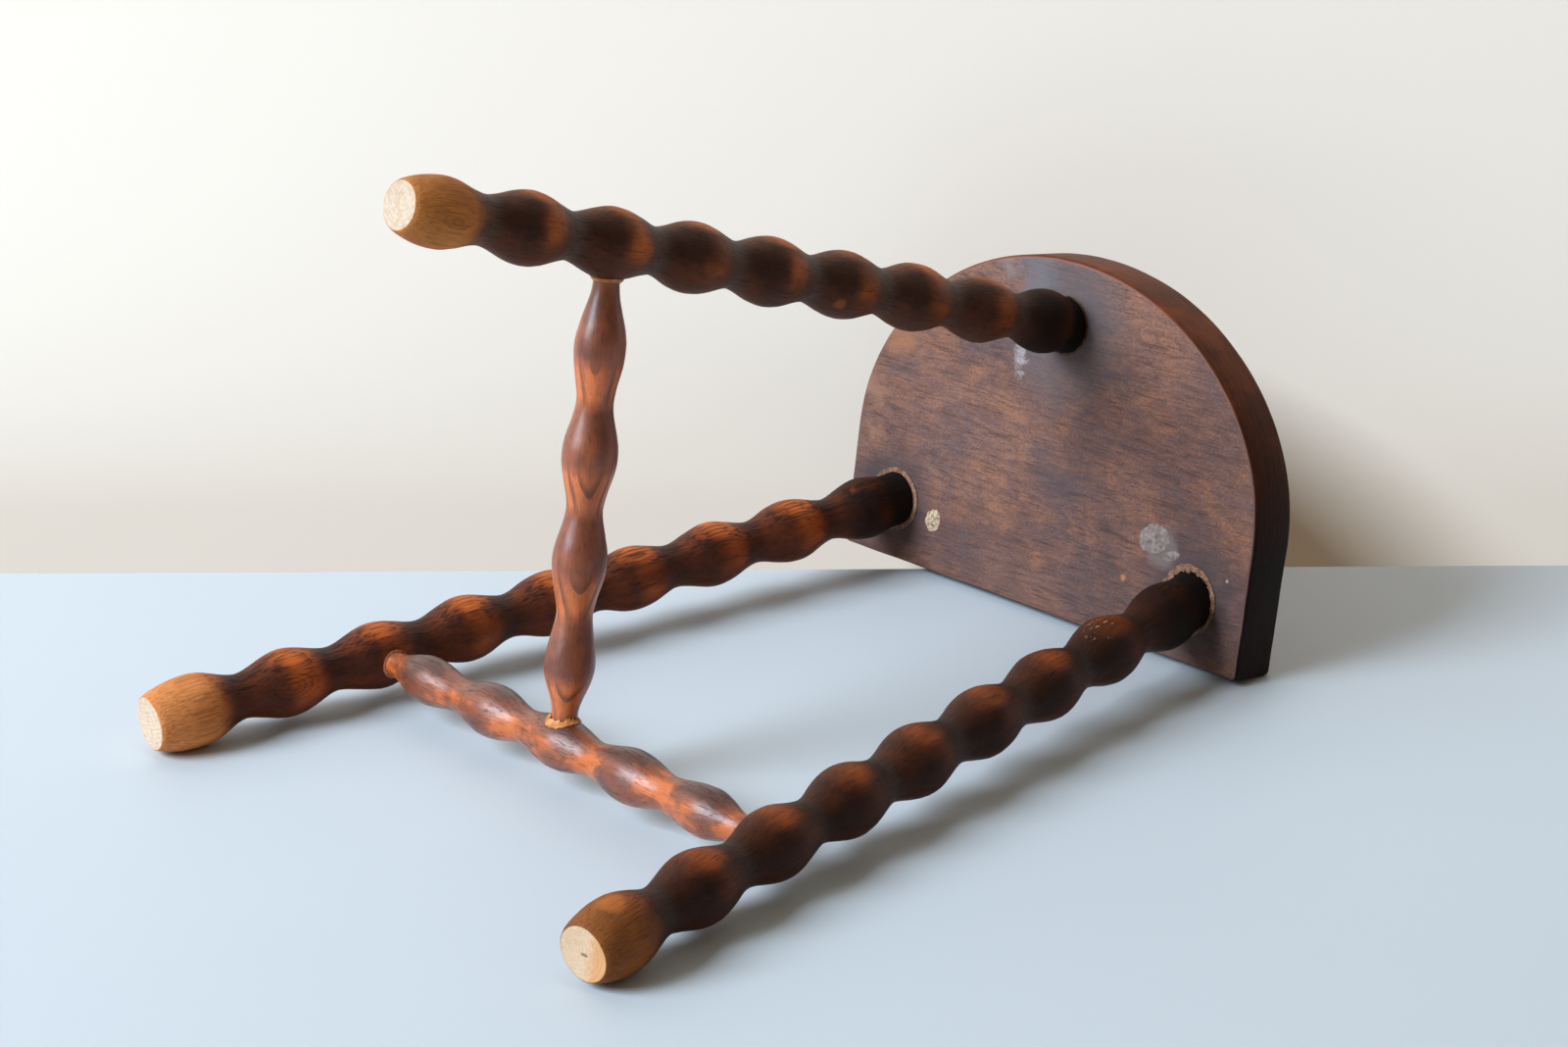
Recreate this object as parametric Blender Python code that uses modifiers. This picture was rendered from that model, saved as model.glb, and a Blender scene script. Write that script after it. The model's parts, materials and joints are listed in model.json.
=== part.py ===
"""A three-legged stool with a D-shaped board seat.

Three bobbin-turned legs are driven into blind round sockets under the seat and lean outwards.
A turned back stretcher joins the two back legs, and a centre stretcher runs from the front leg
to the back stretcher's middle bead. Every joint is a plain round tenon in a bored mortise.

Metres, +Z up. The stool stands on Z = 0, its straight seat edge faces +Y (the back) and the
middle of its bounding box is on the Z axis.
"""

import math
from collections import namedtuple

import bmesh
import bpy
from mathutils import Matrix, Vector

# Seat board
SEAT_WIDTH = 0.276
SEAT_DEPTH = 0.182
SEAT_SIDE = 0.065  # straight length of each side, from the straight back edge to the curve
SEAT_THICKNESS = 0.028
SEAT_ARRIS = 0.0025  # rounding of every edge of the board
UNDERSIDE_HEIGHT = 0.428  # floor to the underside of the seat

# Where the legs meet the underside, and how they lean
BACK_SOCKET_SIDE_INSET = 0.0344  # from the straight part of the seat's side
BACK_SOCKET_INSET = 0.032  # from the straight edge
FRONT_SOCKET_INSET = 0.033  # from the tip of the curved edge
BACK_LEAN_OUT = math.radians(7.45)
BACK_LEAN_BACK = math.radians(11.54)
FRONT_LEAN = math.radians(9.48)

# Legs: nine beads each, cut square across the leg at the foot
LEG_BEADS = 9
LEG_BEAD_RADIUS = 0.0164
LEG_WAIST_RADIUS = 0.0110
LEG_TENON_RADIUS = 0.0140
LEG_SHANK = 0.006  # parallel length showing below the underside
SOCKET_FLOOR = 0.0045  # wood left between the deepest point of a socket and the top of the seat
STRETCHER_BEAD = 3  # the leg bead that the stretchers enter, counted from the foot

# Stretchers
BACK_BEADS = 5
CENTRE_BEADS = 4
STRETCHER_BEAD_RADIUS = 0.0126
STRETCHER_END_BEAD_RADIUS = 0.0116
STRETCHER_WAIST_RADIUS = 0.0084
STRETCHER_TENON_RADIUS = 0.0060
STRETCHER_TENON_DEPTH = 0.010  # into the bead that holds it
STRETCHER_NECK = 0.002  # parallel length showing at each joint
BACK_END = 0.0430  # leg axis to the nearest crest of the back stretcher
CENTRE_FRONT_END = 0.0472  # front leg axis to the nearest crest of the centre stretcher
CENTRE_BACK_END = 0.0372  # back stretcher axis to the nearest crest of the centre stretcher

# Fits
TENON_GAP = 0.0003  # round every tenon
MORTISE_END_GAP = 0.001  # past the end of every tenon

# Turning
BEAD_FULLNESS = 0.85  # 1 is a plain cosine, less is a rounder bead with a narrower waist
RINGS_PER_SLOPE = 3  # rings between a crest and the waist beside it
LEG_SIDES = 20
STRETCHER_SIDES = 16
CURVE_STEPS = 36  # facets round the curved edge of the seat

BACK_SOCKET_X = SEAT_WIDTH / 2 - BACK_SOCKET_SIDE_INSET

# One row for each leg: the three were turned by eye and trimmed to stand level.
# socket: underside point (x, distance forward of the straight edge); lean: outward slopes in X and Y;
# foot: cut face to first crest, that bead's radius and the cut face's radius; top: last crest to underside.
Leg = namedtuple("Leg", "socket lean foot_length foot_bead foot_end top_length")
LEGS = {
    "front_leg": Leg(
        (0.0, SEAT_DEPTH - FRONT_SOCKET_INSET), (0.0, -math.tan(FRONT_LEAN)),
        0.0200, 0.0156, 0.0112, 0.0175,
    ),
    "back_left_leg": Leg(
        (-BACK_SOCKET_X, BACK_SOCKET_INSET), (-math.tan(BACK_LEAN_OUT), math.tan(BACK_LEAN_BACK)),
        0.0225, 0.0175, 0.0134, 0.0209,
    ),
    "back_right_leg": Leg(
        (BACK_SOCKET_X, BACK_SOCKET_INSET), (math.tan(BACK_LEAN_OUT), math.tan(BACK_LEAN_BACK)),
        0.0200, 0.0170, 0.0130, 0.0235,
    ),
}

STAINED_OAK = (0.075, 0.030, 0.016, 1.0)
RUBBED_OAK = (0.190, 0.060, 0.022, 1.0)
SEAT_BROWN = (0.110, 0.060, 0.045, 1.0)

SIDES = {"right": (1, 0, 0), "left": (-1, 0, 0), "back": (0, 1, 0), "front": (0, -1, 0)}

Line = namedtuple("Line", "start direction length")


def clear_scene():
    for obj in list(bpy.data.objects):
        bpy.data.objects.remove(obj, do_unlink=True)


def new_collection(name):
    collection = bpy.data.collections.new(name)
    bpy.context.scene.collection.children.link(collection)
    return collection


def wood(name, colour, roughness):
    material = bpy.data.materials.new(name)
    material.use_nodes = True
    shader = material.node_tree.nodes["Principled BSDF"]
    shader.inputs["Base Color"].default_value = colour
    shader.inputs["Roughness"].default_value = roughness
    shader.inputs["Metallic"].default_value = 0.0
    return material


def leg_axis(leg):
    """The leg's line from the centre of its cut foot to the underside, before centring.

    The foot is cut square to the leg, so the leg stands on the low side of that face.
    """
    down = Vector((leg.lean[0], leg.lean[1], -1.0)).normalized()
    foot_height = leg.foot_end * math.hypot(down.x, down.y)
    socket = Vector((leg.socket[0], -leg.socket[1], UNDERSIDE_HEIGHT))
    length = (UNDERSIDE_HEIGHT - foot_height) / -down.z
    return Line(socket + down * length, -down, length)


def crest_distance(leg, length, number):
    """How far up the leg the crest of bead number lies, counted from the foot."""
    pitch = (length - leg.foot_length - leg.top_length) / (LEG_BEADS - 1)
    return leg.foot_length + (number - 1) * pitch


def swell(share, crest, waist):
    """Radius a share of the way from a crest to the waist beside it."""
    return waist + (crest - waist) * ((1 + math.cos(math.pi * share)) / 2) ** BEAD_FULLNESS


def slope(start, end, rings=RINGS_PER_SLOPE):
    """Points after start, as far as end, on the S-curve between a crest and a waist."""
    (z0, r0), (z1, r1) = start, end
    points = []
    for step in range(1, rings + 1):
        share = step / rings
        radius = swell(share, r0, r1) if r0 > r1 else swell(1 - share, r1, r0)
        points.append((z0 + (z1 - z0) * share, radius))
    return points


def beads(first, last, radii, waist):
    """Profile points from the first crest to the last, with one radius for each bead."""
    pitch = (last - first) / (len(radii) - 1)
    points = [(first, radii[0])]
    for number, radius in enumerate(radii[1:], start=1):
        middle = first + (number - 0.5) * pitch
        points += slope(points[-1], (middle, waist))
        points += slope(points[-1], (first + number * pitch, radius))
    return points


def socket_depth(line):
    """Depth of a leg's socket along the leg: its upper rim stops SOCKET_FLOOR under the seat's top."""
    upper_rim = (LEG_TENON_RADIUS + TENON_GAP) * math.hypot(line.direction.x, line.direction.y)
    return (SEAT_THICKNESS - SOCKET_FLOOR - upper_rim) / line.direction.z


def leg_profile(leg, line):
    """Radii up the leg, from the cut foot to the top of its tenon."""
    length = line.length
    first = leg.foot_length
    last = length - leg.top_length
    barrel = [
        (first * step / RINGS_PER_SLOPE,
         leg.foot_bead - (leg.foot_bead - leg.foot_end) * (1 - step / RINGS_PER_SLOPE) ** 2)
        for step in range(RINGS_PER_SLOPE)
    ]
    radii = [leg.foot_bead] + [LEG_BEAD_RADIUS] * (LEG_BEADS - 1)
    points = barrel + beads(first, last, radii, LEG_WAIST_RADIUS)
    points += slope(points[-1], (length - LEG_SHANK, LEG_TENON_RADIUS))
    points.append((length + socket_depth(line) - MORTISE_END_GAP, LEG_TENON_RADIUS))
    return points


def stretcher_profile(length, host_radii, ends, count):
    """Radii along a stretcher whose two tenons enter beads of host_radii at 0 and length."""
    near, far = host_radii
    radii = [STRETCHER_END_BEAD_RADIUS] + [STRETCHER_BEAD_RADIUS] * (count - 2)
    radii.append(STRETCHER_END_BEAD_RADIUS)
    tenon = STRETCHER_TENON_RADIUS
    first, last = ends[0], length - ends[1]
    start = (near + STRETCHER_NECK, tenon)
    points = [(near - STRETCHER_TENON_DEPTH, tenon), start]
    points += slope(start, (first, radii[0]))[:-1]
    points += beads(first, last, radii, STRETCHER_WAIST_RADIUS)
    points += slope(points[-1], (length - far - STRETCHER_NECK, tenon))
    points.append((length - far + STRETCHER_TENON_DEPTH, tenon))
    return points


def along(line):
    """The matrix that puts a shape made up the local Z axis onto a line."""
    turn = line.direction.to_track_quat("Z", "Y").to_matrix().to_4x4()
    return Matrix.Translation(line.start) @ turn


def turned_piece(name, profile, line, sides, collection, material):
    """A turning: the profile drawn down its outer side and swept round by a Screw modifier."""
    outline = [(profile[-1][0], 0.0)] + profile[::-1] + [(profile[0][0], 0.0)]
    mesh = bpy.data.meshes.new(name)
    bm = bmesh.new()
    points = [bm.verts.new((radius, 0.0, height)) for height, radius in outline]
    for upper, lower in zip(points, points[1:]):
        bm.edges.new((upper, lower))
    bm.to_mesh(mesh)
    bm.free()
    mesh.materials.append(material)
    piece = bpy.data.objects.new(name, mesh)
    piece.matrix_world = along(line)
    collection.objects.link(piece)
    screw = piece.modifiers.new("turning", "SCREW")
    screw.axis = "Z"
    screw.steps = screw.render_steps = sides
    screw.use_merge_vertices = True
    screw.merge_threshold = 0.00001
    screw.use_smooth_shade = True
    return piece


def borer(name, line, radius, start, end, collection):
    """A hidden cylinder on a line, from start to end along it, that bores a mortise."""
    mesh = bpy.data.meshes.new(name)
    bm = bmesh.new()
    middle = Matrix.Translation((0.0, 0.0, (start + end) / 2))
    bmesh.ops.create_cone(
        bm, cap_ends=True, segments=LEG_SIDES, radius1=radius, radius2=radius,
        depth=end - start, matrix=middle,
    )
    bm.to_mesh(mesh)
    bm.free()
    cutter = bpy.data.objects.new(name, mesh)
    cutter.matrix_world = along(line)
    cutter.hide_render = True
    cutter.display_type = "WIRE"
    collection.objects.link(cutter)
    return cutter


def bore(piece, cutter):
    cut = piece.modifiers.new(cutter.name, "BOOLEAN")
    cut.operation = "DIFFERENCE"
    cut.solver = "EXACT"
    cut.object = cutter


def seat_outline():
    """The board's outline with its straight edge on Y = 0, going round from the back right corner."""
    half = SEAT_WIDTH / 2
    bow = SEAT_DEPTH - SEAT_SIDE
    points = [(half, 0.0)]
    for step in range(CURVE_STEPS + 1):
        angle = math.pi * step / CURVE_STEPS
        points.append((half * math.cos(angle), -SEAT_SIDE - bow * math.sin(angle)))
    points.append((-half, 0.0))
    return points


def make_seat(back_y, middle_x, collection, material):
    """The board: a filled outline given its thickness, with rounded arrises."""
    curve = bpy.data.curves.new("seat_outline", "CURVE")
    curve.dimensions = "2D"
    curve.fill_mode = "BOTH"
    curve.extrude = SEAT_THICKNESS / 2
    outline = seat_outline()
    spline = curve.splines.new("POLY")
    spline.points.add(len(outline) - 1)
    for point, (x, y) in zip(spline.points, outline):
        point.co = (x, y, 0.0, 1.0)
    spline.use_cyclic_u = True
    drawn = bpy.data.objects.new("seat_outline", curve)
    drawn.location = (middle_x, back_y, UNDERSIDE_HEIGHT + SEAT_THICKNESS / 2)
    collection.objects.link(drawn)
    bpy.context.view_layer.update()
    evaluated = drawn.evaluated_get(bpy.context.evaluated_depsgraph_get())
    mesh = bpy.data.meshes.new_from_object(evaluated)
    mesh.name = "seat"
    bm = bmesh.new()
    bm.from_mesh(mesh)
    bmesh.ops.remove_doubles(bm, verts=bm.verts, dist=0.00001)
    bm.to_mesh(mesh)
    bm.free()
    mesh.materials.clear()
    mesh.materials.append(material)
    seat = bpy.data.objects.new("seat", mesh)
    seat.matrix_world = drawn.matrix_world.copy()
    collection.objects.link(seat)
    bpy.data.objects.remove(drawn, do_unlink=True)
    rounding = seat.modifiers.new("arris", "BEVEL")
    rounding.width = SEAT_ARRIS
    rounding.segments = 2
    rounding.limit_method = "ANGLE"
    rounding.angle_limit = math.radians(30)
    return seat


def reach(line, profile, direction):
    """How far a turning on a line reaches in a direction."""
    across = math.sqrt(1 - line.direction.dot(direction) ** 2)
    return max(
        (line.start + line.direction * height).dot(direction) + radius * across
        for height, radius in profile
    )


def between(start, end):
    return Line(start, (end - start).normalized(), (end - start).length)


def main():
    clear_scene()
    parts = new_collection("bobbin_stool")
    cutters = new_collection("cutters")

    # The feet reach furthest, so they set the middle of the bounding box.
    drawn = {name: leg_axis(leg) for name, leg in LEGS.items()}
    profiles = {name: leg_profile(leg, drawn[name]) for name, leg in LEGS.items()}
    furthest = {
        side: max(reach(drawn[name], profiles[name], Vector(way)) for name in LEGS)
        for side, way in SIDES.items()
    }
    middle_x = (furthest["right"] - furthest["left"]) / 2
    middle_y = (furthest["back"] - furthest["front"]) / 2
    shift = Vector((-middle_x, -middle_y, 0.0))
    axes = {name: Line(line.start + shift, line.direction, line.length) for name, line in drawn.items()}

    seat = make_seat(shift.y, shift.x, parts, wood("seat", SEAT_BROWN, 0.6))
    joints = {}
    pieces = {}
    for name, leg in LEGS.items():
        line = axes[name]
        piece = turned_piece(name, profiles[name], line, LEG_SIDES, parts, wood(name, STAINED_OAK, 0.4))
        pieces[name] = piece
        joints[name] = line.start + line.direction * crest_distance(leg, line.length, STRETCHER_BEAD)
        socket = borer(
            name + "_socket", line, LEG_TENON_RADIUS + TENON_GAP,
            line.length - 2 * LEG_BEAD_RADIUS, line.length + socket_depth(line), cutters,
        )
        bore(seat, socket)

    back_line = between(joints["back_left_leg"], joints["back_right_leg"])
    middle = back_line.start + back_line.direction * (back_line.length / 2)
    centre_line = between(joints["front_leg"], middle)
    # Each row: the stretcher, its line, crests in from its two ends, bead count, and what holds each end.
    stretchers = (
        ("back_stretcher", back_line, (BACK_END, BACK_END), BACK_BEADS,
         (("back_left_leg", LEG_BEAD_RADIUS), ("back_right_leg", LEG_BEAD_RADIUS))),
        ("centre_stretcher", centre_line, (CENTRE_FRONT_END, CENTRE_BACK_END), CENTRE_BEADS,
         (("front_leg", LEG_BEAD_RADIUS), ("back_stretcher", STRETCHER_BEAD_RADIUS))),
    )
    for name, line, crest_ends, count, hosts in stretchers:
        radii = [radius for _, radius in hosts]
        profile = stretcher_profile(line.length, radii, crest_ends, count)
        pieces[name] = turned_piece(
            name, profile, line, STRETCHER_SIDES, parts, wood(name, RUBBED_OAK, 0.35)
        )
        inner = [radius - STRETCHER_TENON_DEPTH - MORTISE_END_GAP for radius in radii]
        outer = [2 * radius for radius in radii]
        spans = ((inner[0], outer[0]), (line.length - outer[1], line.length - inner[1]))
        for (host, _), (start, end) in zip(hosts, spans):
            cutter = borer(
                host + "_mortise", line, STRETCHER_TENON_RADIUS + TENON_GAP, start, end, cutters
            )
            bore(pieces[host], cutter)


main()
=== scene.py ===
import json
import math
from collections import namedtuple

import bpy
from mathutils import Matrix, Vector


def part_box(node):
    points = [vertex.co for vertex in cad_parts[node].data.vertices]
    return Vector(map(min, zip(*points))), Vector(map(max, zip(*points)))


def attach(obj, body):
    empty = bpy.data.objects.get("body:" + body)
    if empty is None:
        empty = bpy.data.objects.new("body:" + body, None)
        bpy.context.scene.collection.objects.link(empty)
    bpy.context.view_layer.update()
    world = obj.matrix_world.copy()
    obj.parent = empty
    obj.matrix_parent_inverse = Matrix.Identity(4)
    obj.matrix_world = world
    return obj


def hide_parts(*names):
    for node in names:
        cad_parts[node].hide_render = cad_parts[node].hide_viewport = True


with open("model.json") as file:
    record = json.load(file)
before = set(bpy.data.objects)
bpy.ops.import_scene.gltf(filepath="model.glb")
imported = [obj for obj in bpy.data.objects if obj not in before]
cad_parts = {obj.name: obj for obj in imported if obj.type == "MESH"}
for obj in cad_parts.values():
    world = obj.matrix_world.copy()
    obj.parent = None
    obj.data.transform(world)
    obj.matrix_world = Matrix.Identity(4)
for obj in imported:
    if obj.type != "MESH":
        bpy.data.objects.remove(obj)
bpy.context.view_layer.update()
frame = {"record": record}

# Turned legs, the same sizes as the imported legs
LEG_BEADS = 9
LEG_BEAD = 0.0164
LEG_WAIST = 0.0110
LEG_TENON = 0.0140
LEG_SHANK = 0.006
LEG_TENON_DEPTH = 0.016
HELD_BEAD = 3  # the bead of each leg that holds a stretcher

# Turned stretchers
STRETCHER_BEAD = 0.0126
STRETCHER_END_BEAD = 0.0116
STRETCHER_WAIST = 0.0084
STRETCHER_TENON = 0.0060
STRETCHER_TENON_DEPTH = 0.010
STRETCHER_NECK = 0.002

# How many beads each stretcher has, and how far its first and last crests stand from its ends
BACK_BEADS = 5
BACK_ENDS = (0.0430, 0.0430)
CENTRE_BEADS = 4
CENTRE_ENDS = (0.0472, 0.0372)

# Seat board
SEAT_SIDE = 0.065
SEAT_ARRIS = 0.0025
SOCKET_GAP = 0.0003

BEAD_FULLNESS = 0.85
RINGS = 9  # rings of the mesh from a crest to the waist beside it
LEG_SIDES = 96
STRETCHER_SIDES = 72

# foot: cut face to first crest, that bead's radius and the cut face's radius; top: last crest to the seat
Leg = namedtuple("Leg", "mount foot bead end top")
LEGS = {
    "front_leg": Leg("front_foot", 0.0200, 0.0156, 0.0112, 0.0175),
    "back_left_leg": Leg("back_left_foot", 0.0225, 0.0175, 0.0134, 0.0209),
    "back_right_leg": Leg("back_right_foot", 0.0200, 0.0170, 0.0130, 0.0235),
}
MOUNTS = {mount["name"]: mount for mount in frame["record"]["mounts"]}
SEAT_LOW, SEAT_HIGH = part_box("seat")
UNDERSIDE = SEAT_LOW.z


# ---------------------------------------------------------------- lines that the turnings lie on

class Line:
    """The middle line of a turning: where it starts, which way it runs and which side is its front."""

    def __init__(self, start, axis, length, facing):
        self.start = Vector(start)
        self.axis = Vector(axis).normalized()
        self.length = length
        side = Vector(facing) - self.axis * self.axis.dot(Vector(facing))
        side.normalize()
        across = self.axis.cross(side)
        turn = Matrix((side, across, self.axis)).transposed()
        self.matrix = Matrix.Translation(self.start) @ turn.to_4x4()

    def at(self, height, angle=0.0, radius=0.0):
        """The point at a height along the line and at an angle round it, in degrees from the facing side."""
        turn = math.radians(angle)
        return self.matrix @ Vector((radius * math.cos(turn), radius * math.sin(turn), height))


def leg_line(leg):
    mount = MOUNTS[leg.mount]
    foot = Vector(mount["pos_m"])
    up = -Vector(mount["axis"])
    return Line(foot, up, (UNDERSIDE - foot.z) / up.z, (0, -1, 0))


def crest(leg, line, number):
    pitch = (line.length - leg.foot - leg.top) / (LEG_BEADS - 1)
    return leg.foot + (number - 1) * pitch


LINES = {name: leg_line(leg) for name, leg in LEGS.items()}
HOLDS = {name: LINES[name].at(crest(LEGS[name], LINES[name], HELD_BEAD)) for name in LEGS}
span = HOLDS["back_right_leg"] - HOLDS["back_left_leg"]
LINES["back_stretcher"] = Line(HOLDS["back_left_leg"], span, span.length, (0, -1, 0))
reach = HOLDS["back_left_leg"] + span / 2 - HOLDS["front_leg"]
LINES["centre_stretcher"] = Line(HOLDS["front_leg"], reach, reach.length, (1, 0, 0))


# ---------------------------------------------------------------- modelling by hand

def deselect():
    if bpy.context.object and bpy.context.object.mode != "OBJECT":
        bpy.ops.object.mode_set(mode="OBJECT")
    bpy.ops.object.select_all(action="DESELECT")


def take(piece):
    """Selects one piece and nothing else."""
    deselect()
    piece.select_set(True)
    bpy.context.view_layer.objects.active = piece


def apply_modifier(piece, kind, **settings):
    take(piece)
    modifier = piece.modifiers.new(kind.lower(), kind)
    for setting, value in settings.items():
        setattr(modifier, setting, value)
    bpy.ops.object.modifier_apply(modifier=modifier.name)


def pick_faces(piece, wanted):
    """In edit mode, selects the faces whose middle and normal pass the test, and nothing else."""
    bpy.ops.mesh.select_all(action="DESELECT")
    bpy.ops.object.mode_set(mode="OBJECT")
    for face in piece.data.polygons:
        face.select = wanted(face.center, face.normal)
    bpy.ops.object.mode_set(mode="EDIT")


def pick_points(piece, wanted):
    """In edit mode, selects the points whose place passes the test, and nothing else."""
    bpy.ops.mesh.select_mode(type="VERT")
    bpy.ops.mesh.select_all(action="DESELECT")
    bpy.ops.object.mode_set(mode="OBJECT")
    for point in piece.data.vertices:
        point.select = wanted(point.co)
    bpy.ops.object.mode_set(mode="EDIT")


def paint(piece, *finishes):
    piece.data.materials.clear()
    for finish in finishes:
        piece.data.materials.append(finish)


def assign(piece, slot, wanted):
    """Gives the finish in that slot to the faces whose middle and normal pass the test."""
    for face in piece.data.polygons:
        if wanted(face.center, face.normal):
            face.material_index = slot


def smooth(piece, angle=40):
    take(piece)
    bpy.ops.object.shade_smooth_by_angle(angle=math.radians(angle), keep_sharp_edges=False)


def roughen(piece, depth, size, seed):
    """Low hollows and rises left by hand work, over the whole piece."""
    texture = bpy.data.textures.new(piece.name + "_unevenness", "CLOUDS")
    texture.noise_scale = size
    texture.noise_depth = 2
    piece.location = (seed, seed * 0.7, seed * 0.3)
    bpy.ops.object.select_all(action="DESELECT")
    bpy.context.view_layer.update()
    apply_modifier(
        piece, "DISPLACE", texture=texture, texture_coords="GLOBAL", strength=depth, mid_level=0.5
    )
    piece.location = (0, 0, 0)


def place(piece, matrix):
    """Puts a piece made at the origin in its place, with the place kept in its mesh."""
    take(piece)
    piece.matrix_world = matrix @ piece.matrix_world
    bpy.ops.object.transform_apply(location=True, rotation=True, scale=True)


def swell(share, crest_radius, waist):
    """Radius of a bead at a share of the way from its crest to the waist beside it."""
    return waist + (crest_radius - waist) * ((1 + math.cos(math.pi * share)) / 2) ** BEAD_FULLNESS


def slope(start, end, rings=RINGS):
    """Points after start, as far as end, on the S-curve between a crest and a waist."""
    (z0, r0), (z1, r1) = start, end
    points = []
    for step in range(1, rings + 1):
        share = step / rings
        radius = swell(share, r0, r1) if r0 > r1 else swell(1 - share, r1, r0)
        points.append((z0 + (z1 - z0) * share, radius))
    return points


def beads(first, last, radii, waist, hand):
    """Outline from the first crest to the last. hand is how far each bead and waist strays from true."""
    pitch = (last - first) / (len(radii) - 1)
    points = [(first, radii[0])]
    for number, radius in enumerate(radii[1:], start=1):
        middle = first + (number - 0.5) * pitch + hand * math.sin(3.1 * number)
        points += slope(points[-1], (middle, waist + 0.4 * hand * math.sin(5.3 * number + 1)))
        points += slope(points[-1], (first + number * pitch, radius + 0.3 * hand * math.sin(2.3 * number)))
    return points


def leg_outline(leg, line):
    barrel = [(0.0, leg.end - 0.0007), (0.0003, leg.end - 0.0002)]
    for step in range(1, RINGS):
        share = step / RINGS
        barrel.append((leg.foot * share, leg.bead - (leg.bead - leg.end) * (1 - share) ** 2))
    radii = [leg.bead] + [LEG_BEAD] * (LEG_BEADS - 1)
    points = barrel + beads(leg.foot, line.length - leg.top, radii, LEG_WAIST, 0.0004)
    points += slope(points[-1], (line.length - LEG_SHANK, LEG_TENON))
    points.append((line.length, LEG_TENON))
    points.append((line.length + LEG_TENON_DEPTH, LEG_TENON))
    return points


def stretcher_outline(length, near, far, ends, count):
    radii = [STRETCHER_END_BEAD] + [STRETCHER_BEAD] * (count - 2) + [STRETCHER_END_BEAD]
    start = (near + STRETCHER_NECK, STRETCHER_TENON)
    points = [(near - STRETCHER_TENON_DEPTH, STRETCHER_TENON), (near - 0.001, STRETCHER_TENON), start]
    points += slope(start, (ends[0], radii[0]))[:-1]
    points += beads(ends[0], length - ends[1], radii, STRETCHER_WAIST, 0.0004)
    points += slope(points[-1], (length - far - STRETCHER_NECK, STRETCHER_TENON))
    points.append((length - far + 0.001, STRETCHER_TENON))
    points.append((length - far + STRETCHER_TENON_DEPTH, STRETCHER_TENON))
    return points


def turned(name, outline, sides):
    """A turning up the Z axis: a disc at its lower end, drawn out and sized ring by ring."""
    deselect()
    height, radius = outline[0]
    bpy.ops.mesh.primitive_circle_add(
        vertices=sides, radius=radius, fill_type="NGON", location=(0, 0, height)
    )
    piece = bpy.context.object
    piece.name = name
    bpy.ops.object.transform_apply(location=True, rotation=True, scale=True)
    bpy.ops.object.mode_set(mode="EDIT")
    for next_height, next_radius in outline[1:]:
        bpy.ops.mesh.extrude_region_move(
            TRANSFORM_OT_translate={"value": (0, 0, next_height - height)}
        )
        share = next_radius / radius
        bpy.ops.transform.resize(value=(share, share, 1), center_override=(0, 0, next_height))
        height, radius = next_height, next_radius
    bpy.ops.mesh.select_all(action="SELECT")
    bpy.ops.mesh.normals_make_consistent(inside=False)
    bpy.ops.object.mode_set(mode="OBJECT")
    return piece


def bore(piece, line, radius, start, end):
    """Drills a round hole along a line, from start to end on it."""
    deselect()
    bpy.ops.mesh.primitive_cylinder_add(
        vertices=48, radius=radius, depth=end - start, location=(0, 0, (start + end) / 2)
    )
    bit = bpy.context.object
    place(bit, line.matrix)
    apply_modifier(piece, "BOOLEAN", operation="DIFFERENCE", solver="EXACT", object=bit)
    bpy.data.objects.remove(bit, do_unlink=True)


def make_leg(name):
    leg, line = LEGS[name], LINES[name]
    piece = turned(name, leg_outline(leg, line), LEG_SIDES)
    bpy.ops.object.mode_set(mode="EDIT")
    pick_faces(piece, lambda middle, normal: normal.z < -0.9)
    for inset in (0.0004, 0.0018, 0.0022, 0.0022, 0.0022):
        bpy.ops.mesh.inset(thickness=inset, depth=0)
    bpy.ops.object.mode_set(mode="OBJECT")
    roughen(piece, 0.0007, 0.012, seed=1.0 + len(name) * 0.1)
    place(piece, line.matrix)
    held = LINES["centre_stretcher" if name == "front_leg" else "back_stretcher"]
    if name == "back_right_leg":
        held = Line(held.at(held.length), -held.axis, held.length, (0, -1, 0))
    bore(piece, held, STRETCHER_TENON + SOCKET_GAP, LEG_BEAD - STRETCHER_TENON_DEPTH - 0.001, 0.03)
    return piece


def make_stretcher(name, near, far, ends, count):
    line = LINES[name]
    outline = stretcher_outline(line.length, near, far, ends, count)
    piece = turned(name, outline, STRETCHER_SIDES)
    roughen(piece, 0.0005, 0.010, seed=2.0 + len(name) * 0.1)
    place(piece, line.matrix)
    return piece


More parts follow.
